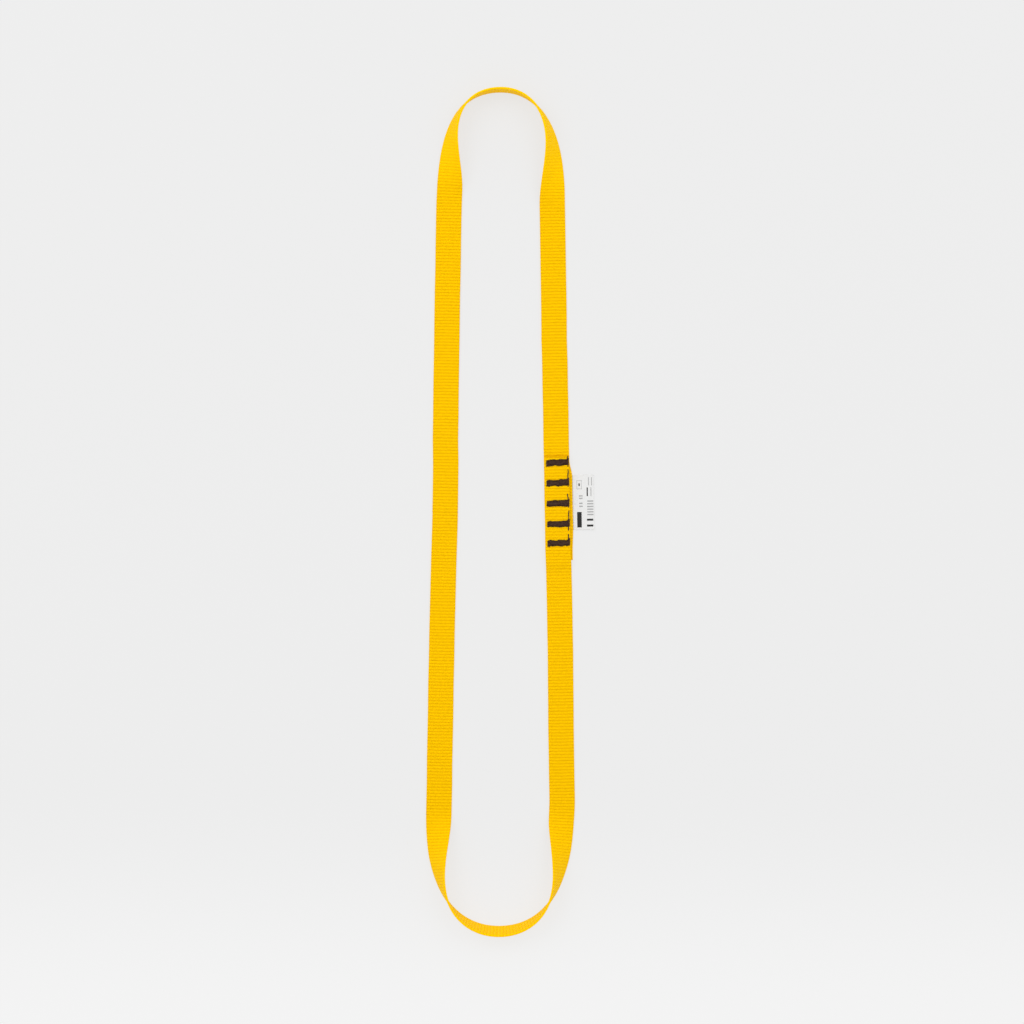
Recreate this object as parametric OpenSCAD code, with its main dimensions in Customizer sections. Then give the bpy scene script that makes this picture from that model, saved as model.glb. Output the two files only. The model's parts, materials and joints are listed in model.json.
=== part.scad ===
// Sewn webbing sling, laid out on a flat surface.
// One band of woven webbing is closed into a long loop by a lap joint with five bar tacks.
// A folded label is caught under the lap and sticks out beside it.
// The two long strands lie flat, outer face up. At both ends the band turns up on its edge.
// Frame: origin at the middle of the underside, +Y along the sling, +Z up from the surface.

/* [Webbing] */
// Width of the webbing
webbing_w = 17; // [15:0.5:19]
// Thickness of the webbing
webbing_t = 1.6; // [1.2:0.1:2.2]

/* [Loop] */
// Distance from the loop's axis to a strand's outer edge, at mid-length
half_width = 46.3; // [40:0.1:55]
// Angle by which each strand spreads outward towards the bottom end, in degrees
spread = 0.95; // [0:0.05:1.5]
// Distance from mid-length to each of the two fold lines
fold_y = 142; // [110:1:150]

/* [Top end] */
// Distance from mid-length to the band's lower edge at the tip
top_y = 280.4; // [270:0.1:290]
// Angle of the band to the surface at the tip, where 90 is upright and more leans outward
top_lean = 91; // [80:0.5:110]
// Bluntness of the tip: how far the curve keeps its sideways heading
top_nose = 24.3; // [15:0.1:35]
// Distance from mid-length to the start of the curve, on the left and the right strand
top_strand_y = [204, 211]; // [190:1:220]
// How far the curve keeps the strand's heading, on the left and the right
top_ease = [59.6, 47.7]; // [35:0.1:65]
// Length of band over which it turns from upright to flat, on the left and the right
top_twist = [88.7, 98]; // [80:0.1:120]
// Where in that length it turns most: above 1 nearer to the flat strand
top_turn = 1.1; // [0.8:0.05:1.4]

/* [Bottom end] */
// Distance from mid-length to the band's lower edge at the tip
bottom_y = 276.4; // [270:0.1:290]
// Sideways place of the tip
bottom_tip_x = -1.1; // [-5:0.1:5]
// Angle of the band to the surface at the tip, where 90 is upright and more leans outward
bottom_lean = 105; // [80:0.5:110]
// Bluntness of the tip: how far the curve keeps its sideways heading
bottom_nose = 30.5; // [20:0.1:40]
// Distance from mid-length to the start of the curve, on the left and the right strand
bottom_strand_y = [201, 187]; // [180:1:220]
// How far the curve keeps the strand's heading, on the left and the right
bottom_ease = [49, 63.1]; // [35:0.1:70]
// Length of band over which it turns from upright to flat, on the left and the right
bottom_twist = [101.5, 100.5]; // [80:0.1:120]
// Where in that length it turns most: above 1 nearer to the flat strand
bottom_turn = 1; // [0.8:0.05:1.4]

/* [Lap joint] */
// Upper end of the lap: the cut end of the front layer
lap_top = 37.4; // [36:0.1:44]
// Lower end of the lap: the cut end of the back layer
lap_bottom = -32; // [-40:0.5:-28]
// How far the back layer shows beyond the front layer's outer edge
lap_shift = 1.7; // [0:0.1:3]
// Where the back layer's sideways shift begins and where it is complete
shift_y = [35, 24]; // [10:1:36]
// Length over which the front layer steps down from the back layer to the surface
step_run = 9; // [6:0.5:14]

/* [Bar tacks] */
// Number of bar tacks
bar_count = 5; // [5:1:5]
// Distance between the bar tacks' middles
bar_pitch = 13.4; // [12.5:0.1:13.5]
// Middle of the bar tack nearest to the top end
bar_first = 33; // [32:0.1:34]
// Length of a bar tack across the webbing
bar_len = 14.7; // [12:0.1:15]
// Width of a bar tack along the webbing
bar_w = 4.1; // [3:0.1:5]
// Distance from the webbing's middle line to a bar tack's middle, outward
bar_shift = 0.5; // [0:0.1:0.6]
// Radius of the bundle of thread in a stitch hole
stitch_r = 0.35; // [0.2:0.05:0.5]
// Radius of the sewing thread that runs from one bar tack to the next
thread_r = 0.25; // [0.15:0.05:0.3]

/* [Label] */
// Length of the label along the webbing
label_len = 36.7; // [20:0.1:38]
// Middle of the label along the webbing
label_y = 6.3; // [0:0.1:8]
// How far the label reaches out from its fold line
label_out = 14; // [8:0.1:20]
// Thickness of one leaf of the folded label
leaf_t = 0.22; // [0.15:0.01:0.25]
// Gap between the label's two leaves
leaf_gap = 0.12; // [0.05:0.01:0.15]
// Length of label that is sewn in under the lap
label_root = 8; // [5:0.5:10]

/* [Hidden] */

WEBBING_COLOUR = [0.97, 0.75, 0.03];
THREAD_COLOUR = [0.22, 0.13, 0.08];
LABEL_COLOUR = [0.93, 0.93, 0.92];

// One entry per end, the top end first
SIGN = [1, -1];
TIP = [[0, top_y], [bottom_tip_x, -bottom_y]];
LEAN = [top_lean, bottom_lean];
NOSE = [top_nose, bottom_nose];
STRAND_Y = [top_strand_y, bottom_strand_y];
EASE = [top_ease, bottom_ease];
TWIST = [top_twist, bottom_twist];
TURN = [top_turn, bottom_turn];

CURVE_STEPS = 24;    // rings along each curved half of an end
STRAIGHT_STEPS = 12; // rings from the curve to the fold line
SHIFT_STEPS = 6;     // points along the back layer's sideways shift
STEP_STEPS = 8;      // points along the front layer's step down
BIG = 200;           // larger than the space a cutting block has to fill

// Thread layers: a pad on each face, and stitches in round holes between them
STITCH_GAP = 0.05;   // clearance of a stitch in its hole
STITCH_COLUMNS = [-6, -2, 2, 6];
STITCH_ROWS = [-1.4, 1.4];
PAD_EDGE = 0.25;     // height of the front pad's upright edge
PAD_CROWN = 0.25;    // further height at the front pad's middle line
PAD_LIFT = 0.05;     // the back pads stay this far off the surface
PAD_SINK = 0.4;      // depth of the back pads' pockets
POCKET_GAP = 0.1;    // sideways clearance of a pad or label in its pocket

// The label's fold line runs just outside the back layer's edge
label_t = 2 * leaf_t + leaf_gap;
label_hinge_x = lap_shift + 0.5;
label_low = label_y - label_len / 2;
bar_x = bar_shift - webbing_w / 2;

// Eases from 0 to 1 as u goes from 0 to 1
function smooth(u) = (1 - cos(180 * u)) / 2;

// Distance from the loop's axis to a strand's outer edge
function edge_x(y) = half_width - y * tan(spread);

function bezier(p, t) = pow(1 - t, 3) * p[0] + 3 * pow(1 - t, 2) * t * p[1]
                        + 3 * (1 - t) * t * t * p[2] + pow(t, 3) * p[3];

function reversed(list) = [for (i = [len(list) - 1:-1:0]) list[i]];

// Route of the band's lower edge, seen from above, from the tip of end e to the fold line.
// side is -1 on the left and 1 on the right.
function half_route(e, side) =
    let (k = side < 0 ? 0 : 1,
         start_y = SIGN[e] * STRAND_Y[e][k],
         start = [side * edge_x(start_y), start_y],
         heading = SIGN[e] * [-side * sin(spread), cos(spread)],
         p = [TIP[e], TIP[e] + [side * NOSE[e], 0], start + EASE[e][k] * heading, start],
         curve = [for (i = [0:CURVE_STEPS]) bezier(p, i / CURVE_STEPS)],
         rest = SIGN[e] * fold_y - start_y,
         straight = [for (i = [1:STRAIGHT_STEPS])
             let (y = start_y + rest * i / STRAIGHT_STEPS) [side * edge_x(y), y]])
    concat(curve, straight);

// Length along a route to each of its points
function run_lengths(p) =
    [for (i = 0, s = 0; i < len(p); s = s + norm(p[min(i + 1, len(p) - 1)] - p[i]), i = i + 1) s];

// Level direction from a route's point i towards the inside of the loop
function inward(p, i, e, side) =
    i == 0 ? [0, -SIGN[e]] :
    i == len(p) - 1 ? [-side / cos(spread), 0] :
    let (d = (p[i + 1] - p[i - 1]) / norm(p[i + 1] - p[i - 1]))
    side * SIGN[e] * [d[1], -d[0]];

// The webbing's four corners at a point: tilt 0 lies flat with the outer face up, 90 is upright
function ring(point, inside, tilt) =
    let (across = [cos(tilt) * inside[0], cos(tilt) * inside[1], sin(tilt)] * webbing_w,
         out = [-sin(tilt) * inside[0], -sin(tilt) * inside[1], cos(tilt)] * webbing_t / 2,
         base = [point[0], point[1], webbing_t / 2 * abs(cos(tilt))])
    [base + out, base + across + out, base + across - out, base - out];

function half_rings(e, side) =
    let (k = side < 0 ? 0 : 1,
         route = half_route(e, side),
         s = run_lengths(route))
    [for (i = [0:len(route) - 1])
        let (turned = pow(min(s[i] / TWIST[e][k], 1), TURN[e]))
        ring(route[i], inward(route, i, e, side), LEAN[e] * cos(90 * turned))];

// The model is centred between the bottom end's left side and the label's outer edge
left_reach = -min([for (p = half_route(1, -1)) p[0]]);
right_reach = edge_x(label_low) + (label_hinge_x + label_out) / cos(spread);
axis_x = (left_reach - right_reach) / 2;

// Skins a row of rings into one closed band
module band(rings, flip) {
    n = len(rings);
    points = [for (r = rings) each r];
    sides = [for (i = [0:n - 2]) for (k = [0:3])
        let (a = 4 * i + k, b = 4 * i + (k + 1) % 4) each [[a, b, b + 4], [a, b + 4, a + 4]]];
    caps = [[3, 2, 1], [3, 1, 0], [4 * n - 4, 4 * n - 3, 4 * n - 2], [4 * n - 4, 4 * n - 2, 4 * n - 1]];
    faces = concat(sides, caps);
    polyhedron(points, flip ? [for (f = faces) reversed(f)] : faces);
}

module end_loop(e) {
    left = reversed(half_rings(e, -1));
    right = half_rings(e, 1);
    tail = [for (i = [1:len(right) - 1]) right[i]];
    translate([axis_x, 0, 0]) band(concat(left, tail), e == 0);
}

module webbing_top_loop() {
    color(WEBBING_COLOUR) end_loop(0);
}

module webbing_bottom_loop() {
    color(WEBBING_COLOUR) end_loop(1);
}

module webbing_left_strand() {
    inset = webbing_w / cos(spread);
    top = edge_x(fold_y);
    bottom = edge_x(-fold_y);
    color(WEBBING_COLOUR) translate([axis_x, 0, 0]) linear_extrude(webbing_t)
        polygon([[-top, fold_y], [-bottom, -fold_y], [inset - bottom, -fold_y], [inset - top, fold_y]]);
}

// Places children beside the right strand: x 0 is its outer edge, and y runs along it
module on_right_strand() {
    translate([axis_x + half_width, 0, 0]) rotate([0, 0, spread]) children();
}

// Trims the right strand's layers square at the two fold lines
module between_folds() {
    intersection() {
        children();
        translate([axis_x, -fold_y, -1]) cube([BIG, 2 * fold_y, BIG]);
    }
}

module at_bar(i) {
    translate([bar_x, bar_first - i * bar_pitch, 0]) children();
}

module bar_block(gap, bottom, height) {
    size = [bar_len + 2 * gap, bar_w + 2 * gap, height];
    translate([-size[0] / 2, -size[1] / 2, bottom]) cube(size);
}

module stitches(r, bottom, height) {
    for (x = STITCH_COLUMNS, y = STITCH_ROWS)
        translate([x, y, bottom]) cylinder(r = r, h = height, $fn = 24);
}

// Needle holes through everything that the bar tacks hold together
module stitch_holes() {
    for (i = [0:bar_count - 1])
        at_bar(i) stitches(stitch_r + STITCH_GAP, -1, 2 * webbing_t + 2);
}

module back_pad_pockets() {
    for (i = [0:bar_count - 1])
        at_bar(i) bar_block(POCKET_GAP, -1, 1 + PAD_SINK);
}

module label_pocket() {
    translate([label_hinge_x - label_root - POCKET_GAP, label_low - POCKET_GAP, -1])
        cube([BIG, label_len + 2 * POCKET_GAP, 1 + label_t + STITCH_GAP]);
}

// End of the band that comes down from the top loop, under the lap
module lap_back_layer() {
    shift = [for (i = [0:SHIFT_STEPS]) let (u = i / SHIFT_STEPS)
        [lap_shift * smooth(u), shift_y[0] + (shift_y[1] - shift_y[0]) * u]];
    outer = concat([[0, BIG]], shift, [[lap_shift, lap_bottom]]);
    inner = [for (p = reversed(outer)) p - [webbing_w, 0]];
    color(WEBBING_COLOUR) between_folds() on_right_strand() difference() {
        linear_extrude(webbing_t) polygon(concat(outer, inner));
        stitch_holes();
        back_pad_pockets();
        label_pocket();
    }
}

// End of the band that comes up from the bottom loop: it steps up onto the back layer
module lap_front_layer() {
    step_top = lap_bottom - 0.4;
    step = [for (i = [0:STEP_STEPS]) let (u = i / STEP_STEPS)
        [step_top - step_run * (1 - u), webbing_t * smooth(u)]];
    under = concat([[-BIG, 0]], step, [[lap_top, webbing_t]]);
    top = [for (p = reversed(under)) p + [0, webbing_t]];
    color(WEBBING_COLOUR) between_folds() on_right_strand() difference() {
        translate([-webbing_w, 0, 0]) rotate([90, 0, 90])
            linear_extrude(webbing_w) polygon(concat(under, top));
        stitch_holes();
    }
}

// Needle thread of bar tack i: a low crowned pad on the front, with stitches down to the back layer
module bar_tack(i) {
    crown_r = (pow(bar_w / 2, 2) + pow(PAD_CROWN, 2)) / (2 * PAD_CROWN);
    top = 2 * webbing_t + PAD_EDGE + PAD_CROWN;
    color(THREAD_COLOUR) on_right_strand() at_bar(i) union() {
        intersection() {
            bar_block(0, 2 * webbing_t, PAD_EDGE + PAD_CROWN);
            translate([-bar_len, 0, top - crown_r]) rotate([0, 90, 0])
                cylinder(r = crown_r, h = 2 * bar_len, $fn = 96);
        }
        stitches(stitch_r, webbing_t, webbing_t + PAD_EDGE / 2);
    }
}

// Bobbin thread of bar tack i: a flat pad let into the back, with stitches up to the front layer
module bobbin_thread(i) {
    color(THREAD_COLOUR) on_right_strand() at_bar(i) union() {
        bar_block(0, PAD_LIFT, PAD_SINK - PAD_LIFT);
        stitches(stitch_r, PAD_SINK / 2, webbing_t - PAD_SINK / 2);
    }
}

// Thread that the needle carries from each bar tack to the next, along their outer ends
module jump_threads() {
    color(THREAD_COLOUR) on_right_strand() for (i = [0:bar_count - 2])
        at_bar(i) translate([bar_len / 2 - 2 * thread_r, -bar_w / 2, 2 * webbing_t + thread_r])
            rotate([90, 0, 0]) cylinder(r = thread_r, h = bar_pitch - bar_w, $fn = 24);
}

// Part of the label that the bar tacks hold against the back of the lap
module label_root_tab() {
    color(LABEL_COLOUR) on_right_strand() difference() {
        translate([label_hinge_x - label_root, label_low, 0]) cube([label_root, label_len, label_t]);
        back_pad_pockets();
        stitch_holes();
    }
}

// Free part of the label: two leaves joined by the fold at the outer edge
module label_flap() {
    color(LABEL_COLOUR) on_right_strand() translate([label_hinge_x, label_low, 0]) difference() {
        cube([label_out, label_len, label_t]);
        translate([-1, -1, leaf_t]) cube([label_out + 1 - leaf_t, label_len + 2, leaf_gap]);
    }
}

webbing_top_loop();
webbing_bottom_loop();
webbing_left_strand();
lap_back_layer();
lap_front_layer();
for (i = [0:bar_count - 1])
    bar_tack(i);
for (i = [0:bar_count - 1])
    bobbin_thread(i);
jump_threads();
label_root_tab();
label_flap();
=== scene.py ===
import json
import math

import bpy
import numpy as np
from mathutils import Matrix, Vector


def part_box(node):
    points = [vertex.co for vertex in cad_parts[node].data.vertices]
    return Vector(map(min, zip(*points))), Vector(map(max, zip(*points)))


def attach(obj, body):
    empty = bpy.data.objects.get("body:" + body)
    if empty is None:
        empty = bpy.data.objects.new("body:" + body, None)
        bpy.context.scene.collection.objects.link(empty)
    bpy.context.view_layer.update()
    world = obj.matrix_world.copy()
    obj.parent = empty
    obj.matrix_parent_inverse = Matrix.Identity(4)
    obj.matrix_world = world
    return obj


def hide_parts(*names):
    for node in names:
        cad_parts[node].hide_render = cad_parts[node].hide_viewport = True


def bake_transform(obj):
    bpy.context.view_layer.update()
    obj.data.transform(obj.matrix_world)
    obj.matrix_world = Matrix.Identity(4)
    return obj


# Looks of the sewn webbing sling: ribbed webbing, bar tacks, label and the studio around them.

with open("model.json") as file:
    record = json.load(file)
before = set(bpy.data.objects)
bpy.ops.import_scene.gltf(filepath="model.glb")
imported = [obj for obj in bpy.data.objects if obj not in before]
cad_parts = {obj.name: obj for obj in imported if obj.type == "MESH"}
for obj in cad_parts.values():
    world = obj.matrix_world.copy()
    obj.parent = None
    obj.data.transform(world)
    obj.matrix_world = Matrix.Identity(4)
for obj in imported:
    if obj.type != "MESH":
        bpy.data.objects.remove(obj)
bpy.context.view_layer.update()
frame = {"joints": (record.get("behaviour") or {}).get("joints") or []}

MM = 0.001
JOINTS = {j["name"]: j for j in frame["joints"]}

# The webbing, and the strands' edges on both sides of the loop's axis, in millimetres
WIDTH, THICK = 17.0, 1.6
HALF_WIDTH = 46.3
SPREAD = math.radians(0.95)  # angle between each strand and the loop's axis
FOLD_Y = JOINTS["top_fold"]["pos_m"][1] / MM

# The two ends: where the tip is, how the band leans there, and how it curves and turns flat.
# Pairs are for the left and the right strand. drawn says how far the ribs are drawn flat at the tip, and
# how much of the webbing's painted groove shade is taken away there.
TOP = {
    "sign": 1, "tip": (0.0, 280.4), "lean": 91.0, "nose": 24.3,
    "strand_y": (204.0, 211.0), "ease": (59.6, 47.7), "twist": (88.7, 98.0), "turn": 1.1,
    "drawn": 0.7,
}
BOTTOM = {
    "sign": -1, "tip": (-1.1, -276.4), "lean": 105.0, "nose": 30.5,
    "strand_y": (201.0, 187.0), "ease": (49.0, 63.1), "twist": (101.5, 100.5), "turn": 1.0,
    "drawn": 0.35,
}

# The lap joint on the right strand, in the strand's own frame
LAP_TOP, LAP_BOTTOM = 37.4, -32.0
LAP_SHIFT, SHIFT_Y = 1.7, (35.0, 24.0)
LAP_TAPER, TAPER_Y = 0.4, (-8.0, LAP_BOTTOM)  # the back layer's margin narrows towards its end
STEP_TOP, STEP_RUN = LAP_BOTTOM - 0.4, 9.0
BAR_COUNT, BAR_PITCH, BAR_FIRST = 5, 13.4, 33.0
BAR_LEN, BAR_W = 14.7, 4.1
BAR_X = 0.5 - WIDTH / 2
BAR_TURN = (1.6, 1.9, 1.0, 0.7, 2.2)      # degrees that each bar tack is off square
BAR_OFF = (0.10, 0.05, -0.35, -0.50, 0.0)  # how far each is off its even place along the webbing
FRONT_Z = 2 * THICK
NEEDLE_RADIUS, BOBBIN_RADIUS, JUMP_RADIUS = 0.24, 0.17, 0.33
PLY_TURN = 0.9  # length of thread in which its plies turn once

# The label, out from its fold line beside the lap
LABEL_HINGE_X, LABEL_OUT, LABEL_ROOT = LAP_SHIFT + 0.5, 14.0, 8.0
LABEL_LEN, LABEL_Y = 36.7, 6.3
LEAF_T, LEAF_GAP = 0.22, 0.12

# How deep the webbing is pressed in: by the stitches on the front and on the back, and by the label
FRONT_DENT, STITCH_DENT, LABEL_DENT = 0.24, 0.40, 0.60

DENT_MARGIN, DENT_SLOPES = 1.0, (1.2, 1.3)  # slopes along and across the bar tack
LABEL_MARGIN = 0.8

# Weave: one rib for each pick across the webbing, and one column for each pair of yarns along it
RIB_PITCH, RIB_STEPS, RIB_H = 2.06, 6, 0.16
RIB_CREST = 0.7              # below 1 the ribs are broad and the grooves narrow
RIB_VARY, GRAIN = 0.10, 0.012  # random spread of each rib's height, and of each point
RIB_BOW, RIB_BOW_REACH = 0.05, 90.0
COLUMN_PITCH = 0.62
PATTERN_START = 2000.0       # keeps the count of ribs above zero all along a run
MELT_LENGTH = 1.1

# Section of the webbing: how far the round edge reaches out, as a share of the core's half thickness,
# and how strongly the ribs show: at the edge of a face, what its middle adds, and on the round edge
EDGE_SHARE = 0.9
FACE_POINTS, EDGE_POINTS = 19, 5
FACE_EDGE_RIBS, FACE_GAIN, ROUND_RIBS = 0.55, 0.45, 0.45
FACE_FADE = 1.2
FACING = 0.2                 # a point belongs to a face when its normal's upward part is above this

# Soft bows of each strand, because real webbing is never quite straight: (middle, reach, size to the
# right), and small random ones between evenly spaced places
LEFT_BOWS = ((4.0, 48.0, 0.9),)
RIGHT_BOWS = ((-75.0, 70.0, 0.5), (-24.0, 11.0, -0.3))
WAVER, WAVER_PLACES = 0.06, 40
TWIST_EASE = 9.0             # length over which the band's twist is evened out
OUTSIDE_LAP = 1000.0         # stands for any place along the strand that is well outside the lap

# The camera: how far right of the loop's axis, its height in metres and its focal length
CAMERA_X, CAMERA_HEIGHT, CAMERA_LENS = 7.6, 2.0, 105.4

# The studio, in metres and watts: each softbox has a name, a place and its power
FLOOR_HALF, FLOOR_DROP = 4.0, 0.0001
WORLD_STRENGTH = 0.88
SOFTBOX_SIZE = 1.2
SOFTBOXES = (("softbox_left", (-1.1, 0.8, 1.7), 13.5), ("softbox_right", (1.0, 0.9, 1.7), 9.5))


def edge_x(y):
    """Distance from the loop's axis to a strand's outer edge."""
    return HALF_WIDTH - y * math.tan(SPREAD)


AXIS_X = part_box("webbing_left_strand")[0].x / MM + edge_x(-FOLD_Y)


def smooth(u):
    """Eases from 0 to 1 as u goes from 0 to 1, and stays there."""
    return (1 - np.cos(np.pi * np.clip(u, 0, 1))) / 2


def sway(bows, y):
    """How far a strand with these bows lies to the right of its straight line."""
    return sum(size * np.exp(-((y - middle) / reach) ** 2) for middle, reach, size in bows)


def strand_point(x, y, z):
    """A point in metres from the right strand's own frame: x 0 is its outer edge, y runs along it."""
    c, s = math.cos(SPREAD), math.sin(SPREAD)
    return np.array([AXIS_X + HALF_WIDTH + x * c - y * s, x * s + y * c, z]) * MM


# ---------------------------------------------------------------- camera

def make_camera():
    """Straight above the sling, 2 m up, with the top end at the top of the picture."""
    data = bpy.data.cameras.new("camera")
    data.sensor_width = 36.0
    data.lens = CAMERA_LENS
    data.clip_end = 20.0
    cam = bpy.data.objects.new("camera", data)
    cam.location = ((AXIS_X + CAMERA_X) * MM, 0.0, CAMERA_HEIGHT)
    bpy.context.scene.collection.objects.link(cam)
    bpy.context.scene.camera = cam


make_camera()


# ---------------------------------------------------------------- shader helpers

class Shader:
    """A node material with a Principled surface, and short ways to add nodes to it."""

    def __init__(self, name, **constants):
        self.material = bpy.data.materials.new(name)
        self.material.use_nodes = True
        self.tree = self.material.node_tree
        self.surface = self.tree.nodes["Principled BSDF"]
        for key, value in constants.items():
            self.surface.inputs[key.replace("_", " ")].default_value = value

    def add(self, kind, **settings):
        made = self.tree.nodes.new(kind)
        for key, value in settings.items():
            setattr(made, key, value)
        return made

    def feed(self, socket, value):
        """Links a socket to socket, or sets its constant."""
        if isinstance(value, bpy.types.NodeSocket):
            self.tree.links.new(value, socket)
        else:
            socket.default_value = value

    def math(self, operation, *values):
        made = self.add("ShaderNodeMath", operation=operation)
        for socket, value in zip(made.inputs, values):
            self.feed(socket, value)
        return made.outputs[0]

    def mix(self, share, low, high):
        """A colour from low at share 0 to high at share 1. The node's colour inputs are 6 and 7."""
        made = self.add("ShaderNodeMix", data_type="RGBA")
        self.feed(made.inputs[0], share)
        self.feed(made.inputs[6], low)
        self.feed(made.inputs[7], high)
        return made.outputs[2]

    def noise(self, vector, scale, detail=2.0, roughness=0.5):
        made = self.add("ShaderNodeTexNoise")
        self.feed(made.inputs["Vector"], vector)
        made.inputs["Scale"].default_value = scale
        made.inputs["Detail"].default_value = detail
        made.inputs["Roughness"].default_value = roughness
        return made.outputs[0]

    def spread(self, value, low, high):
        """Maps value from 0..1 to low..high, kept within 0..1."""
        made = self.add("ShaderNodeMapRange")
        self.feed(made.inputs["Value"], value)
        made.inputs["To Min"].default_value = low
        made.inputs["To Max"].default_value = high
        clipped = self.add("ShaderNodeClamp")
        self.feed(clipped.inputs["Value"], made.outputs[0])
        return clipped.outputs[0]

    def place(self):
        """The point in the object's own space, in metres."""
        return self.add("ShaderNodeTexCoord").outputs["Object"]

    def pattern(self):
        """The two coordinates of the pattern that the mesh carries."""
        uv = self.add("ShaderNodeUVMap", uv_map="pattern").outputs[0]
        parts = self.add("ShaderNodeSeparateXYZ")
        self.feed(parts.inputs[0], uv)
        return parts.outputs[0], parts.outputs[1]

    def attribute(self, name):
        return self.add("ShaderNodeAttribute", attribute_name=name).outputs["Fac"]

    def bump(self, height, distance, strength=1.0):
        made = self.add("ShaderNodeBump")
        made.inputs["Strength"].default_value = strength
        made.inputs["Distance"].default_value = distance
        self.feed(made.inputs["Height"], height)
        self.feed(self.surface.inputs["Normal"], made.outputs[0])

    def finish(self, colour, roughness):
        self.feed(self.surface.inputs["Base Color"], colour)
        self.feed(self.surface.inputs["Roughness"], roughness)
        return self.material


def webbing_material():
    """Yellow rib-weave webbing: u counts ribs and v counts yarn columns round the section. The grooves
    between the ribs and between the yarn columns are painted darker as shade. The mesh says where it
    stands upright, where its ribs are drawn flat, which also takes the painted groove shade away,
    and where its cut end is melted."""
    sh = Shader("webbing_yellow", Sheen_Weight=0.05, Sheen_Roughness=0.4, Specular_IOR_Level=0.05,
                Sheen_Tint=(1.0, 0.62, 0.02, 1), Specular_Tint=(1.0, 0.55, 0.0, 1))
    u, v = sh.pattern()
    rib = sh.math("ABSOLUTE", sh.math("SINE", sh.math("MULTIPLY", u, math.pi)))
    odd = sh.math("MODULO", sh.math("FLOOR", u), 2.0)
    across = sh.math("ADD", v, sh.math("MULTIPLY", odd, 0.5))
    column = sh.math("ABSOLUTE", sh.math("SINE", sh.math("MULTIPLY", across, math.pi)))
    ply_phase = sh.math("ADD", sh.math("MULTIPLY", across, 4.0), sh.math("MULTIPLY", u, 5.0))
    ply = sh.math("ABSOLUTE", sh.math("SINE", sh.math("MULTIPLY", ply_phase, math.pi)))
    place = sh.place()
    patches = sh.noise(place, 60.0, 3.0)
    fuzz = sh.noise(place, 2500.0, 2.0, 0.7)

    cell = sh.add("ShaderNodeCombineXYZ")
    sh.feed(cell.inputs[0], sh.math("FLOOR", u))
    sh.feed(cell.inputs[1], sh.math("FLOOR", across))
    yarn = sh.add("ShaderNodeTexWhiteNoise", noise_dimensions="2D")
    sh.feed(yarn.inputs["Vector"], cell.outputs[0])

    # Painted shade: darker orange in the grooves, full yellow on the ridges and where the ribs are drawn
    # flat
    rib_shading = sh.math("MULTIPLY", sh.math("POWER", rib, 0.4), sh.spread(column, 0.78, 1.0))
    drawn = sh.attribute("drawn")
    rib_shading = sh.math("ADD", rib_shading, sh.math("MULTIPLY", drawn, sh.math("SUBTRACT", 1.0, rib_shading)))
    colour = sh.mix(rib_shading, (0.74, 0.27, 0.0, 1), (1.0, 0.61, 0.0, 1))
    colour = sh.mix(sh.spread(patches, 0.0, 0.25), colour, (0.97, 0.54, 0.0, 1))
    colour = sh.mix(sh.spread(yarn.outputs["Value"], 0.0, 0.16), colour, (0.96, 0.48, 0.0, 1))
    colour = sh.mix(sh.spread(fuzz, 0.0, 0.10), colour, (1.0, 0.72, 0.02, 1))
    melt = sh.attribute("melt")
    colour = sh.mix(sh.math("MULTIPLY", melt, 0.6), colour, (0.62, 0.24, 0.0, 1))

    height = sh.math("ADD", sh.math("MULTIPLY", column, 0.60), sh.math("MULTIPLY", ply, 0.18))
    height = sh.math("ADD", height, sh.math("MULTIPLY", fuzz, 0.14))
    calm = sh.math("SUBTRACT", 1.0, sh.math("MULTIPLY", sh.attribute("upright"), 0.7))
    sh.bump(sh.math("MULTIPLY", height, calm), 0.00032, 0.9)
    rough = sh.math("SUBTRACT", sh.spread(fuzz, 0.55, 0.75), sh.math("MULTIPLY", melt, 0.25))
    return sh.finish(colour, rough)


def thread_material():
    """Dark brown sewing thread: u runs along it in turns of its ply, v goes round it. The ply's crests
    and random patches are painted lighter as highlights and its troughs darker as shade. The mesh says
    where a stitch dips into the webbing, where it is painted darker as shade."""
    sh = Shader("thread_dark", Sheen_Weight=0.08, Sheen_Roughness=0.35, Specular_IOR_Level=0.4,
                Sheen_Tint=(0.9, 0.6, 0.5, 1), Specular_Tint=(0.8, 0.45, 0.35, 1))
    u, v = sh.pattern()
    turn = sh.math("MULTIPLY", sh.math("ADD", u, v), math.pi)
    ply = sh.math("ABSOLUTE", sh.math("SINE", turn))
    place = sh.place()
    patches = sh.noise(place, 800.0, 3.0)
    # Painted highlight and shade: lighter on the ply's crests and in random patches, darker in its troughs
    colour = sh.mix(ply, (0.003, 0.001, 0.001, 1), (0.022, 0.008, 0.004, 1))
    colour = sh.mix(sh.spread(patches, -0.7, 1.5), colour, (0.070, 0.040, 0.028, 1))
    # Painted shade: darker where a stitch dips into the webbing or a jump thread sinks into it
    colour = sh.mix(sh.math("MULTIPLY", sh.attribute("dip_shade"), 0.85), colour, (0.008, 0.002, 0.0, 1))
    sh.bump(ply, 0.00008, 0.9)
    return sh.finish(colour, sh.spread(patches, 0.45, 0.7))


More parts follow.
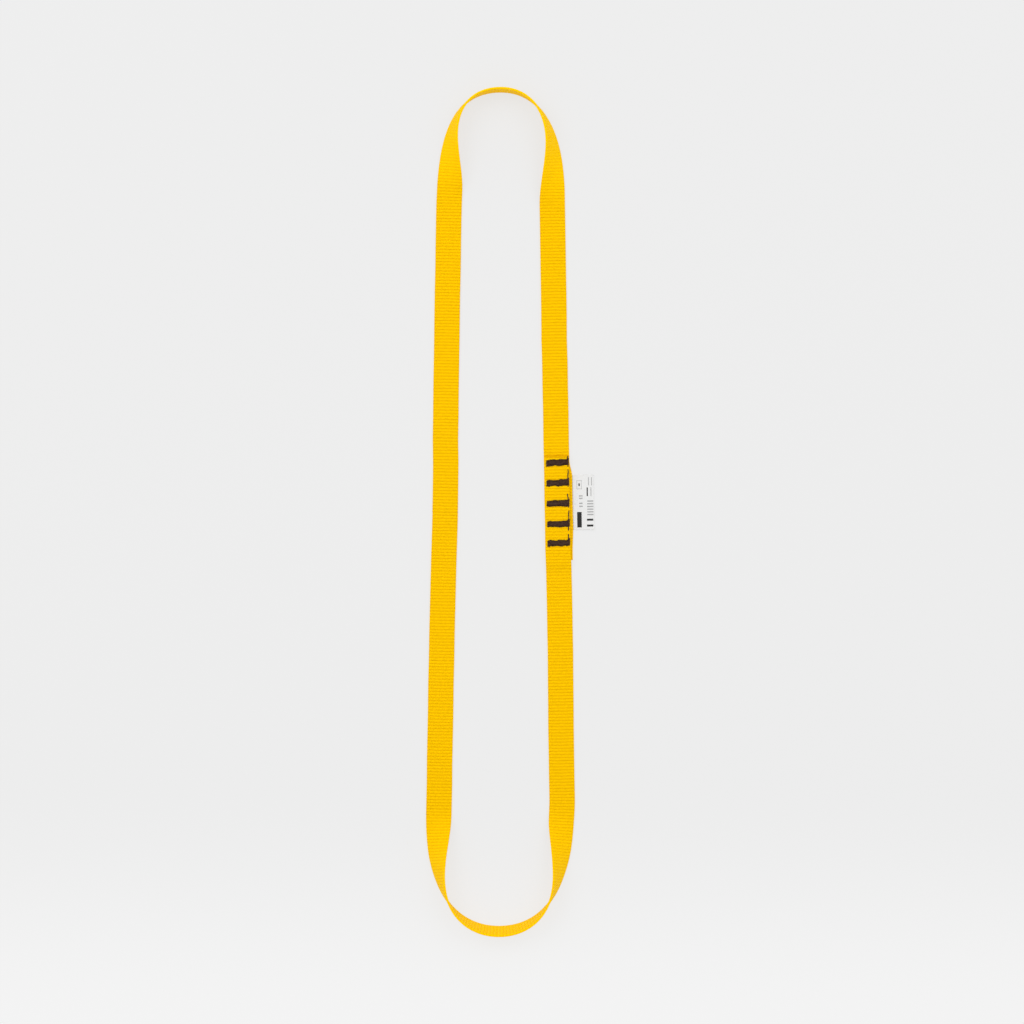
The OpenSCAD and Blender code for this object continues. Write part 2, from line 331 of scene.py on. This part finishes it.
def label_material():
    """White woven label tape: u runs round the folded strip's section and v along it, in millimetres."""
    sh = Shader("label_white", Sheen_Weight=0.1, Specular_IOR_Level=0.3)
    u, v = sh.pattern()
    weft = sh.math("ABSOLUTE", sh.math("SINE", sh.math("MULTIPLY", u, 2.2 * math.pi)))
    warp = sh.math("ABSOLUTE", sh.math("SINE", sh.math("MULTIPLY", v, 2.2 * math.pi)))
    weave = sh.math("MULTIPLY", weft, warp)
    place = sh.place()
    patches = sh.noise(place, 150.0, 3.0)
    colour = sh.mix(weave, (0.64, 0.64, 0.635, 1), (0.72, 0.72, 0.715, 1))
    colour = sh.mix(sh.spread(patches, 0.0, 0.3), colour, (0.67, 0.665, 0.655, 1))
    sh.bump(weave, 0.00003, 0.6)
    return sh.finish(colour, sh.spread(patches, 0.5, 0.65))


def ink_material(name, dark):
    """Print on the label, a little broken up where the cloth's high points wear it."""
    sh = Shader(name, Specular_IOR_Level=0.2)
    place = sh.place()
    wear = sh.noise(place, 3000.0, 2.0)
    light = dark + 0.04
    colour = sh.mix(sh.spread(wear, 0.0, 0.6), (dark, dark, dark, 1), (light, light, light, 1))
    sh.bump(wear, 0.00001, 0.5)
    return sh.finish(colour, sh.spread(wear, 0.5, 0.7))


def floor_material():
    """Pale seamless paper, lit through so that it stays even, with painted light that makes it lighter at
    the near side.
    """
    sh = Shader("floor_paper", Roughness=0.9, Specular_IOR_Level=0.1)
    place = sh.place()
    parts = sh.add("ShaderNodeSeparateXYZ")
    sh.feed(parts.inputs[0], place)
    # Painted light: the paper's colour is lighter towards the near side
    near = sh.add("ShaderNodeMapRange", interpolation_type="SMOOTHSTEP")
    sh.feed(near.inputs["Value"], parts.outputs[1])
    near.inputs["From Min"].default_value = -0.18
    near.inputs["From Max"].default_value = -0.34
    grain = sh.noise(place, 400.0, 2.0)
    paper = sh.mix(near.outputs[0], (0.805, 0.805, 0.805, 1), (0.86, 0.86, 0.86, 1))
    colour = sh.mix(sh.spread(grain, 0.0, 0.04), paper, (0.75, 0.75, 0.75, 1))
    sh.feed(sh.surface.inputs["Emission Color"], colour)
    sh.surface.inputs["Emission Strength"].default_value = 0.88
    shade = sh.mix(0.86, colour, (0.0, 0.0, 0.0, 1))
    sh.bump(grain, 0.00002, 0.3)
    return sh.finish(shade, 0.9)


# ---------------------------------------------------------------- mesh helpers

def grid_object(name, points, uv, material):
    """A closed skin over a grid of points (rings, points round a ring), with flat ends. uv has one more
    column than the points, so that the pattern doesn't run back across the face that closes a ring."""
    rings, around = points.shape[:2]
    i, j = np.meshgrid(np.arange(rings - 1), np.arange(around), indexing="ij")
    k = (j + 1) % around
    here, ahead = i * around, (i + 1) * around
    quads = np.stack([here + j, here + k, ahead + k, ahead + j], axis=-1)
    faces = quads.reshape(-1, 4).tolist()
    corners = np.stack([uv[i, j], uv[i, j + 1], uv[i + 1, j + 1], uv[i + 1, j]], axis=2).reshape(-1, 2)
    faces.append(list(range(around))[::-1])
    faces.append([(rings - 1) * around + n for n in range(around)])
    corners = np.concatenate([corners, uv[0, :around][::-1], uv[-1, :around]])
    mesh = bpy.data.meshes.new(name)
    mesh.from_pydata(points.reshape(-1, 3).tolist(), [], faces)
    mesh.uv_layers.new(name="pattern").data.foreach_set("uv", corners.astype(np.float32).ravel())
    smooth_faces = np.ones(len(faces), bool)
    smooth_faces[-2:] = False
    mesh.polygons.foreach_set("use_smooth", smooth_faces)
    mesh.materials.append(material)
    mesh.update()
    made = bpy.data.objects.new(name, mesh)
    bpy.context.scene.collection.objects.link(made)
    return made


def mark_points(made, name, values):
    """Gives each point of a mesh a number that its material reads."""
    layer = made.data.attributes.new(name, "FLOAT", "POINT")
    layer.data.foreach_set("value", values.astype(np.float32).ravel())


def unit(vectors):
    """Vectors with their length brought to 1."""
    return vectors / np.linalg.norm(vectors, axis=-1, keepdims=True)


def tube_grid(line, radius, sides, turn_length):
    """Points and pattern coordinates of a round tube along a line, in metres, with closed ends."""
    tangents = unit(np.gradient(line, axis=0))
    side = unit(np.cross(tangents[0], [0.31, 0.17, 0.93]))
    angles = np.linspace(0, 2 * np.pi, sides, endpoint=False)
    length = np.concatenate([[0], np.cumsum(np.linalg.norm(np.diff(line, axis=0), axis=1))])
    grid = np.zeros((len(line), sides, 3))
    for n, (point, tangent) in enumerate(zip(line, tangents)):
        side = unit(side - tangent * (side @ tangent))
        other = np.cross(tangent, side)
        grid[n] = point + radius * (np.outer(np.cos(angles), side) + np.outer(np.sin(angles), other))
    u = np.repeat(length[:, None] / turn_length, sides + 1, axis=1)
    v = np.repeat(np.linspace(0, 2, sides + 1)[None], len(line), axis=0)
    return grid, np.stack([u, v], axis=2)


def join(name, parts):
    """Joins objects into the first one and names it."""
    for o in bpy.context.selected_objects:
        o.select_set(False)
    for o in parts:
        o.select_set(True)
    bpy.context.view_layer.objects.active = parts[0]
    bpy.ops.object.join()
    parts[0].name = name
    parts[0].data.name = name
    return parts[0]


# ---------------------------------------------------------------- webbing

def half_route(end, side, stop_y):
    """The band's lower edge seen from above, from an end's tip along one side to stop_y."""
    k = 0 if side < 0 else 1
    start_y = end["sign"] * end["strand_y"][k]
    start = np.array([side * edge_x(start_y), start_y])
    heading = end["sign"] * np.array([-side * math.sin(SPREAD), math.cos(SPREAD)])
    tip = np.array(end["tip"])
    p = [tip, tip + [side * end["nose"], 0.0], start + end["ease"][k] * heading, start]
    t = np.linspace(0, 1, 1500)[:, None]
    curve = ((1 - t) ** 3 * p[0] + 3 * (1 - t) ** 2 * t * p[1] + 3 * (1 - t) * t * t * p[2]
             + t ** 3 * p[3])
    y = np.linspace(start_y, stop_y, 500)[1:]
    return np.concatenate([curve, np.stack([side * edge_x(y), y], axis=1)])


def section():
    """Points round the webbing's section, as columns: distance across, height from the middle plane,
    the outward normal's two parts, and how strongly the ribs show there."""
    core = THICK / 2 - RIB_H
    inset = core * EDGE_SHARE
    rows = []
    for up in (1, -1):
        for n in range(FACE_POINTS):
            share = n / (FACE_POINTS - 1)
            across = inset + (WIDTH - 2 * inset) * (share if up > 0 else 1 - share)
            near_edge = min(across, WIDTH - across) - inset
            ribs = FACE_EDGE_RIBS + FACE_GAIN * float(smooth(near_edge / FACE_FADE))
            rows.append((across, up * core, 0.0, up, ribs))
        for n in range(1, EDGE_POINTS):
            angle = math.pi / 2 - math.pi * n / EDGE_POINTS
            out = 1 if up > 0 else -1
            middle = WIDTH - inset if up > 0 else inset
            rows.append((middle + out * inset * math.cos(angle), up * core * math.sin(angle),
                         out * math.cos(angle), up * math.sin(angle), ROUND_RIBS))
    return np.array(rows)


def rib_profile(phase):
    """Height of the ribs from 0 in the groove to 1 on the ridge: a groove at each whole number."""
    return np.abs(np.sin(np.pi * phase)) ** RIB_CREST


def bar_place(n):
    """Middle of bar tack n in the right strand's frame."""
    return BAR_X, BAR_FIRST - n * BAR_PITCH + BAR_OFF[n]


def bar_dent(x, y):
    """How much the stitches press the lap in at a point of the right strand's frame, from 0 to 1."""
    dent = np.zeros(np.broadcast(x, y).shape)
    for n in range(BAR_COUNT):
        bx, by = bar_place(n)
        off_y = y - by - (x - bx) * math.tan(math.radians(BAR_TURN[n]))
        inside_x = smooth((BAR_LEN / 2 + DENT_MARGIN - np.abs(x - bx)) / DENT_SLOPES[0])
        inside_y = smooth((BAR_W / 2 + DENT_MARGIN - np.abs(off_y)) / DENT_SLOPES[1])
        dent = np.maximum(dent, inside_x * inside_y)
    return dent


def eased(values, span):
    """Values averaged over a moving span, so that the band has no sudden change of twist."""
    half = span // 2
    padded = np.pad(values, half, mode="edge")
    return np.convolve(padded, np.ones(2 * half + 1) / (2 * half + 1), mode="valid")


def run_places(from_tip):
    """Places of the rings along a run, measured from the end's tip. They are whole steps back from
    mid-length of the left strand, so that the ribs of the two runs meet there."""
    step = RIB_PITCH / RIB_STEPS
    count = int((from_tip[-1] - from_tip[0]) / step)
    u = np.concatenate([[from_tip[0]], from_tip[-1] - step * np.arange(count, -1, -1)])
    return u[np.concatenate([[True], np.diff(u) > step / 4])]


def run_tilt(end, u):
    """Angle between the band's face and the surface at each place: upright at the tip, then flat."""
    twist = np.where(u < 0, end["twist"][1], end["twist"][0])
    turned_flat = np.clip(np.abs(u) / twist, 0, 1) ** end["turn"]
    tilt = math.radians(end["lean"]) * np.cos(np.pi / 2 * turned_flat)
    return eased(tilt, int(TWIST_EASE / (RIB_PITCH / RIB_STEPS)))


def lap_offsets(along, on_top):
    """How far the band shifts sideways and how far it lifts at places along the right strand: in the
    lap the back layer shifts, and the front layer steps up onto it."""
    still = np.zeros(len(along))
    if on_top:
        return still, THICK * smooth((along - STEP_TOP + STEP_RUN) / STEP_RUN)
    shift = LAP_SHIFT * smooth((SHIFT_Y[0] - along) / (SHIFT_Y[0] - SHIFT_Y[1]))
    return shift - LAP_TAPER * smooth((TAPER_Y[0] - along) / (TAPER_Y[0] - TAPER_Y[1])), still


def press_lap(points, sec, shift, along, on_top):
    """Moves the lap's faces in: the stitches pull both in, and the label presses into the back."""
    x_here = -sec[None, :, 0] + shift[:, None]
    y_here = along[:, None]
    if on_top:
        pressed = bar_dent(x_here, y_here) * (sec[None, :, 3] > FACING)
        points[..., 2] -= FRONT_DENT * pressed
        return
    in_label_x = smooth((x_here - LABEL_HINGE_X + LABEL_ROOT + LABEL_MARGIN) / LABEL_MARGIN)
    in_label_y = smooth((LABEL_LEN / 2 + LABEL_MARGIN - np.abs(y_here - LABEL_Y)) / LABEL_MARGIN)
    pressed = STITCH_DENT * bar_dent(x_here, y_here) + LABEL_DENT * in_label_x * in_label_y
    points[..., 2] += pressed * (sec[None, :, 3] < -FACING)


def run_pattern(sec, phase):
    """Pattern coordinates of a run: ribs along it, and yarn columns round its section."""
    around = np.concatenate([[0], np.cumsum(np.linalg.norm(np.diff(sec[:, :2], axis=0), axis=1))])
    around = np.append(around, around[-1] + np.linalg.norm(sec[0, :2] - sec[-1, :2])) / COLUMN_PITCH
    uv = np.zeros((len(phase), len(around), 2))
    uv[..., 0] = np.concatenate([phase, phase[:, :1]], axis=1) + PATTERN_START
    uv[..., 1] = around[None]
    return uv


def band_run(name, end, right_stop, on_top, material, seed):
    """One run of the band: from its cut end in the lap, round one end of the loop, to mid-length of
    the left strand. on_top says that its cut end is the lap's front layer. Returns the object and its
    middle line."""
    right = half_route(end, 1, right_stop * math.cos(SPREAD))
    left = half_route(end, -1, 0.0)
    line = np.concatenate([right[::-1], left[1:]])
    run = np.concatenate([[0], np.cumsum(np.linalg.norm(np.diff(line, axis=0), axis=1))])
    from_tip = run - run[len(right) - 1]
    u = run_places(from_tip)
    plan = np.stack([np.interp(u, from_tip, line[:, n]) for n in (0, 1)], axis=1)
    heading = unit(np.gradient(plan, u, axis=0))
    inward = end["sign"] * np.stack([-heading[:, 1], heading[:, 0]], axis=1)
    tilt = run_tilt(end, u)

    along = np.where(u < 0, plan[:, 1] / math.cos(SPREAD), OUTSIDE_LAP * end["sign"])
    shift, lift = lap_offsets(along, on_top)
    plan = plan - inward * shift[:, None]
    plan[:, 0] += np.where(u < 0, sway(RIGHT_BOWS, plan[:, 1]), sway(LEFT_BOWS, plan[:, 1]))

    rng = np.random.default_rng(seed)
    knots = np.linspace(u[0], u[-1], WAVER_PLACES)
    waver = np.interp(u, knots, rng.normal(0, WAVER, WAVER_PLACES))
    plan = plan + inward * waver[:, None]
    across = np.concatenate([inward * np.cos(tilt)[:, None], np.sin(tilt)[:, None]], axis=1)
    out = np.concatenate([-inward * np.sin(tilt)[:, None], np.cos(tilt)[:, None]], axis=1)
    base = np.concatenate([plan, (THICK / 2 * np.abs(np.cos(tilt)) + lift)[:, None]], axis=1)

    sec = section()
    bow = RIB_BOW * np.sin(np.pi * sec[:, 0] / WIDTH)[None] * np.sin(u / RIB_BOW_REACH)[:, None]
    phase = ((u - u[-1]) / RIB_PITCH)[:, None] + bow
    whole = np.floor(phase).astype(int)
    rib_size = rng.normal(1.0, RIB_VARY, whole.max() - whole.min() + 1)[whole - whole.min()]
    upright = np.abs(np.sin(tilt))[:, None]
    drawn = end["drawn"] * upright
    raised = RIB_H * sec[:, 4] * np.clip(rib_profile(phase) * rib_size * (1 - drawn / 2), 0, 1)
    raised = np.minimum(raised + rng.normal(0, GRAIN, raised.shape), RIB_H)
    normal = across[:, None] * sec[None, :, 2:3] + out[:, None] * sec[None, :, 3:4]
    points = (base[:, None] + across[:, None] * sec[None, :, 0:1] + out[:, None] * sec[None, :, 1:2]
              + normal * raised[..., None])
    press_lap(points, sec, shift, along, on_top)

    melt = (1 - smooth((u - u[0]) / MELT_LENGTH))[:, None]
    grid = (points + [AXIS_X, 0.0, 0.0]) * MM
    order = -end["sign"]  # the upper run is wound the other way round
    made = grid_object(name, grid[::order], run_pattern(sec, phase)[::order], material)
    for key, values in (("melt", melt), ("upright", upright), ("drawn", drawn)):
        mark_points(made, key, np.repeat(values, len(sec), axis=1)[::order])
    middle = base + across * WIDTH / 2
    return made, (middle + [AXIS_X, 0.0, 0.0]) * MM


webbing = webbing_material()
upper_run, upper_line = band_run("webbing_upper_run", TOP, LAP_BOTTOM, False, webbing, 3)
lower_run, lower_line = band_run("webbing_lower_run", BOTTOM, LAP_TOP, True, webbing, 4)

UPPER_NODES = ("webbing_top_loop", "lap_back_layer", "webbing_left_strand")
LOWER_NODES = ("webbing_bottom_loop", "lap_front_layer")
for run, line, body, sign, nodes in (
    (upper_run, upper_line, "top_loop", 1, UPPER_NODES),
    (lower_run, lower_line, "bottom_loop", -1, LOWER_NODES),
):
    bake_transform(run)
    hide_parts(*nodes)


# ---------------------------------------------------------------- stitching

STROKES = 46       # zigzag strokes in a bar tack
STROKE_SHARES = (0.0, 0.12, 0.35, 0.65, 0.88)  # the points of a stroke, as shares of its way
STROKE_VARY, REACH_VARY, ARCH_VARY = 0.07, 0.10, 0.04
ARCH_POWER, DIP_POWER = 0.5, 4
EDGE_PLACES, EDGE_VARY = 9, 0.30
EDGE_DRAWN_IN, EDGE_DRAWN_OUT = 0.5, 1.3  # at the inner and at the outer end of a tack's upper edge
BACK_INSET = 1.0   # a bar tack's stitches end this much further in on the back
# Heights of a stroke's ends, of its middle and of the straight threads under it
FRONT_HEIGHTS = (FRONT_Z - 0.22, FRONT_Z + 0.26, FRONT_Z - 0.05)
BACK_HEIGHTS = (0.36, 0.19, 0.27)
UNDERLAY_Y = (-1.55, -0.95, -0.35, 0.35, 0.95, 1.55)
UNDERLAY_INSET, UNDERLAY_POINTS = 0.3, 16
THREAD_SIDES = 7
STITCH_SEED, BACK_SEED, EDGE_SEED = 10, 20, 40

JUMP_POINTS, JUMP_LIFT = 48, 0.12
# How far a jump thread is drawn down where it is hidden, and the share of its way that this takes
JUMP_SINK, JUMP_SLOPE = 0.80, 0.16
JUMP_SAG, JUMP_WAVE, JUMP_WAVES = 0.25, 0.12, 5.0
TAIL_LENGTH, TAIL_LEAN, TAIL_RISE = 2.4, 0.3, 0.2
TAIL_POINTS, TAIL_LIFT = 12, 0.08


def turned(n, x, y):
    """A point of bar tack n, off its middle by x across the webbing and y along it, turned with it."""
    angle = math.radians(BAR_TURN[n])
    bx, by = bar_place(n)
    c, s = math.cos(angle), math.sin(angle)
    return bx + x * c - y * s, by + x * s + y * c


def ragged_edge(n, side):
    """Places along bar tack n and how far off its middle line its edge on one side is there: never
    straight, and drawn up at the outer end where the next tack's thread leaves."""
    rng = np.random.default_rng(EDGE_SEED + 2 * n + (side > 0))
    places = np.linspace(-BAR_LEN / 2, BAR_LEN / 2, EDGE_PLACES)
    edge = side * BAR_W / 2 + rng.normal(0, EDGE_VARY, EDGE_PLACES)
    if side > 0:
        edge[0] -= EDGE_DRAWN_IN
        edge[-1] += EDGE_DRAWN_OUT
    return places, edge


def zigzag(n, rng, length, low_z, high_z):
    """Line of the zigzag thread of bar tack n: each stroke crosses the bar in a low arch. Also says how
    near each point is to the end of its stroke, where the thread dips into the webbing and is painted
    darker as shade."""
    upper, lower = ragged_edge(n, 1), ragged_edge(n, -1)
    line, dip_shade = [], []
    for k in range(STROKES + 1):
        side = 1 if k % 2 else -1
        x = -length / 2 + length * k / STROKES + rng.normal(0, STROKE_VARY)
        x = min(max(x, -length / 2), length / 2)
        top, bottom = np.interp(x, *upper), np.interp(x, *lower)
        middle = (top + bottom) / 2
        half = (top - bottom) / 2 + rng.normal(0, REACH_VARY)
        next_x = -length / 2 + length * (k + 1) / STROKES
        arch = high_z + rng.normal(0, ARCH_VARY)
        for share in STROKE_SHARES:
            here_x = x + (next_x - x) * share
            here_y = middle + side * half * math.cos(math.pi * share)
            z = low_z + (arch - low_z) * math.sin(math.pi * share) ** ARCH_POWER
            line.append(strand_point(*turned(n, here_x, here_y), z))
            dip_shade.append(math.cos(math.pi * share) ** DIP_POWER)
    return np.array(line), np.array(dip_shade)


def thread_object(name, line, radius, dip_shade, thread):
    """A round thread along a line, with how deep each of its points dips, which its material paints as
    shade.
    """
    grid, uv = tube_grid(line, radius * MM, THREAD_SIDES, PLY_TURN * MM)
    made = grid_object(name, grid, uv, thread)
    mark_points(made, "dip_shade", np.repeat(dip_shade, THREAD_SIDES))
    return made


def underlay(n, length, y, z):
    """Line of a straight run of thread under the zigzag, from end to end of bar tack n."""
    reach = length / 2 - UNDERLAY_INSET
    xs = np.linspace(-reach, reach, UNDERLAY_POINTS)
    return np.array([strand_point(*turned(n, x, y), z) for x in xs])


def bar_tack(n, name, thread, front):
    """Bar tack n on the front of the lap, or its bobbin thread on the back."""
    rng = np.random.default_rng(STITCH_SEED + n + (0 if front else BACK_SEED))
    radius = NEEDLE_RADIUS if front else BOBBIN_RADIUS
    length = BAR_LEN if front else BAR_LEN - 2 * BACK_INSET
    low_z, high_z, bed_z = FRONT_HEIGHTS if front else BACK_HEIGHTS
    line, dip_shade = zigzag(n, rng, length, low_z, high_z)
    parts = [thread_object(name, line, radius, dip_shade, thread)]
    for y in UNDERLAY_Y:
        line = underlay(n, length, y, bed_z)
        parts.append(thread_object(name, line, radius, np.zeros(len(line)), thread))
    return join(name, parts)


def jump_thread(n, sunk, thread):
    """Thread along the outer ends of bar tacks n and n + 1. Between the two shares of its way in sunk
    it is drawn down into the webbing and painted darker as shade."""
    x0, y0 = turned(n, BAR_LEN / 2 - 0.45, -BAR_W / 2 + 0.5)
    x1, y1 = turned(n + 1, BAR_LEN / 2 - 0.55, BAR_W / 2 - 0.5)
    line, dip_shade = [], []
    for share in np.linspace(0, 1, JUMP_POINTS):
        bow = JUMP_SAG * math.sin(math.pi * share) * (-1) ** n
        sag = bow + JUMP_WAVE * math.sin(JUMP_WAVES * math.pi * share + n)
        depth = float(smooth((share - sunk[0]) / JUMP_SLOPE) * smooth((sunk[1] - share) / JUMP_SLOPE))
        line.append(strand_point(x0 + (x1 - x0) * share + sag, y0 + (y1 - y0) * share,
                                 FRONT_Z + JUMP_LIFT - JUMP_SINK * depth))
        dip_shade.append(depth)
    return thread_object("jump_threads", np.array(line), JUMP_RADIUS, np.array(dip_shade), thread)


def thread_tail(thread):
    """Cut end of thread that stands out of the first bar tack's outer end."""
    x0, y0 = turned(0, BAR_LEN / 2 - 0.5, BAR_W / 2 - 0.4)
    line = [strand_point(x0 + TAIL_LEAN * s * s, y0 + TAIL_LENGTH * s, FRONT_Z + TAIL_LIFT + TAIL_RISE * s)
            for s in np.linspace(0, 1, TAIL_POINTS)]
    return thread_object("jump_threads", np.array(line), JUMP_RADIUS, np.zeros(len(line)), thread)


thread = thread_material()
for n in range(BAR_COUNT):
    for node, front in ((f"bar_tack_{n + 1}", True), (f"bobbin_thread_{n + 1}", False)):
        piece = bar_tack(n, node + "_stitches", thread, front)
        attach(piece, "middle")
        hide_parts(node)

# Shares of each jump thread's way between which it is drawn down into the webbing
SUNK = ((0.05, 0.42), (0.05, 0.66), (0.05, 0.42), (0.25, 0.66))
jumps = join("jump_thread_runs",
             [jump_thread(n, SUNK[n], thread) for n in range(BAR_COUNT - 1)] + [thread_tail(thread)])
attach(jumps, "middle")
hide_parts("jump_threads")


# ---------------------------------------------------------------- label

CORNER_LIFT, WAVE_LIFT, BELLY_LIFT = 0.9, 0.25, 0.35
WAVE_REACH = 5.0
LABEL_COLUMNS, LABEL_ROWS, FOLD_POINTS = 30, 75, 7
LOWEST = 0.01  # the label's underside stays this far above the surface that the sling lies on
INK_UNDER, INK_OVER = -0.01, 0.03
INK_STEP_X, INK_STEP_Y = 0.4, 0.5


def label_lift(x, y, upper):
    """Height that the label's leaf stands off the surface at x out from its fold line and y along it:
    the corners curl up, the whole leaf waves, and the upper leaf bellies out."""
    out = np.clip(x / LABEL_OUT, 0, 1)
    end = np.clip(np.abs(y - LABEL_Y) / (LABEL_LEN / 2), 0, 1)
    curl = CORNER_LIFT * out ** 2 * end ** 4 + WAVE_LIFT * out * (1 + np.sin(y / WAVE_REACH)) / 2
    belly = BELLY_LIFT * np.sin(np.pi * out) * (1 - end ** 2) if upper else 0.0
    return curl + belly


def label_section():
    """Middle line of the folded strip: out along the lower leaf, round the fold and back along the
    upper leaf. Each point says whether it belongs to the upper leaf."""
    low_z, high_z = LEAF_T / 2, LEAF_T * 1.5 + LEAF_GAP
    bend = (high_z - low_z) / 2
    inner, outer = LABEL_HINGE_X - LABEL_ROOT, LABEL_HINGE_X + LABEL_OUT - bend - LEAF_T / 2
    xs = np.linspace(inner, outer, LABEL_COLUMNS)
    low = [(x, low_z, False) for x in xs]
    fold = [(outer + bend * math.sin(a), low_z + bend - bend * math.cos(a), True)
            for a in np.linspace(0, math.pi, FOLD_POINTS)[1:-1]]
    high = [(x, high_z, True) for x in xs[::-1]]
    return low + fold + high


def label_point(x, z, upper, y):
    """A point of the strip's section: lifted outside the lap, and pressed in by the stitches under
    it inside the lap."""
    if x > LABEL_HINGE_X:
        return x, z + float(label_lift(np.array(x - LABEL_HINGE_X), y, upper))
    return x, z + STITCH_DENT * float(bar_dent(np.array(x), np.array(y)))


def make_label(material):
    """The folded strip as one closed skin: each ring goes round the strip's section."""
    ys = np.linspace(LABEL_Y - LABEL_LEN / 2, LABEL_Y + LABEL_LEN / 2, LABEL_ROWS)
    rings, uv = [], []
    for y in ys:
        middle = np.array([label_point(x, z, upper, y) for x, z, upper in label_section()])
        heading = unit(np.gradient(middle, axis=0))
        normal = np.stack([-heading[:, 1], heading[:, 0]], axis=1) * LEAF_T / 2
        loop = np.concatenate([middle + normal, (middle - normal)[::-1]])
        rings.append([strand_point(x, y, max(z, LOWEST)) for x, z in loop])
        length = np.concatenate([[0], np.cumsum(np.linalg.norm(np.diff(loop, axis=0), axis=1))])
        uv.append([(d, y) for d in np.append(length, length[-1] + LEAF_T)])
    return grid_object("label_folded_strip", np.array(rings), np.array(uv), material)


def print_bar(name, x0, x1, y0, y1, material):
    """A closed, very thin bar of ink on the label's upper leaf, bent as the leaf is."""
    top = LEAF_T * 2 + LEAF_GAP
    steps = int((y1 - y0) / INK_STEP_Y) + 2
    xs = np.linspace(x0, x1, int((x1 - x0) / INK_STEP_X) + 2)
    outline = [(x, INK_UNDER) for x in xs] + [(x, INK_OVER) for x in xs[::-1]]
    rings, uv = [], []
    for y in np.linspace(y0, y1, steps):
        lifts = [float(label_lift(np.array(x - LABEL_HINGE_X), y, True)) for x, _ in outline]
        rings.append([strand_point(x, y, top + lift + over) for (x, over), lift in zip(outline, lifts)])
        uv.append([(k, y) for k in range(len(outline) + 1)])
    return grid_object(name, np.array(rings), np.array(uv), material)


def label_print():
    """Plain marks in two columns that spell nothing: bars, dashes, a frame and squares."""
    black, grey = ink_material("ink_black", 0.006), ink_material("ink_grey", 0.35)
    x0 = LABEL_HINGE_X
    dark, pale = [], []

    def bar(group, x, wide, y, tall):
        """A bar whose corner nearest the fold line and the bottom end is at x, y."""
        material = black if group is dark else grey
        group.append(print_bar("mark", x0 + x, x0 + x + wide, y, y + tall, material))

    bar(dark, 2.5, 3.0, -10.4, 10.3)
    for y in (3.3, 5.3, 8.6, 10.2):
        bar(pale, 4.0, 2.3, y, 0.8)
    for x in (2.5, 5.5):
        bar(pale, x, 0.25, 15.2, 5.8)
    for y in (15.2, 20.75):
        bar(pale, 2.5, 3.25, y, 0.25)
    bar(dark, 3.7, 0.9, 17.2, 1.8)
    for y in (-9.9, -6.0):
        bar(dark, 9.0, 4.2, y, 1.3)
    for n in range(6):
        bar(pale, 9.3, 4.1, -2.3 + 1.8 * n, 0.8)
    bar(dark, 9.1, 0.8, 10.4, 5.8)
    bar(pale, 11.7, 0.5, 10.4, 5.8)
    bar(pale, 10.2, 0.45, 17.6, 5.4)
    bar(pale, 12.2, 0.45, 17.6, 5.4)
    return join("label_print_dark", dark), join("label_print_pale", pale)


label = make_label(label_material())
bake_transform(label)
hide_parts("label_flap", "label_root_tab")
marks = label_print()
for piece in marks:
    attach(piece, "label")


# ---------------------------------------------------------------- studio

def make_floor():
    """A plain floor just under the sling, which belongs to the studio and not to the object."""
    mesh = bpy.data.meshes.new("floor")
    half = FLOOR_HALF
    mesh.from_pydata([(-half, -half, 0), (half, -half, 0), (half, half, 0), (-half, half, 0)], [],
                     [(0, 1, 2, 3)])
    mesh.materials.append(floor_material())
    made = bpy.data.objects.new("floor", mesh)
    made.location.z = -FLOOR_DROP
    bpy.context.scene.collection.objects.link(made)


def area_light(name, place, power):
    """A square soft light that faces the sling's middle."""
    data = bpy.data.lights.new(name, "AREA")
    data.size = SOFTBOX_SIZE
    data.energy = power
    made = bpy.data.objects.new(name, data)
    made.location = place
    made.rotation_euler = made.location.to_track_quat("Z", "Y").to_euler()
    bpy.context.scene.collection.objects.link(made)


def make_world(strength):
    """White light from all round."""
    world = bpy.data.worlds.new("studio")
    world.use_nodes = True
    background = world.node_tree.nodes["Background"]
    background.inputs["Color"].default_value = (1, 1, 1, 1)
    background.inputs["Strength"].default_value = strength
    bpy.context.scene.world = world


make_floor()
make_world(WORLD_STRENGTH)
for name, place, power in SOFTBOXES:
    area_light(name, place, power)
bpy.context.scene.view_settings.view_transform = "Standard"
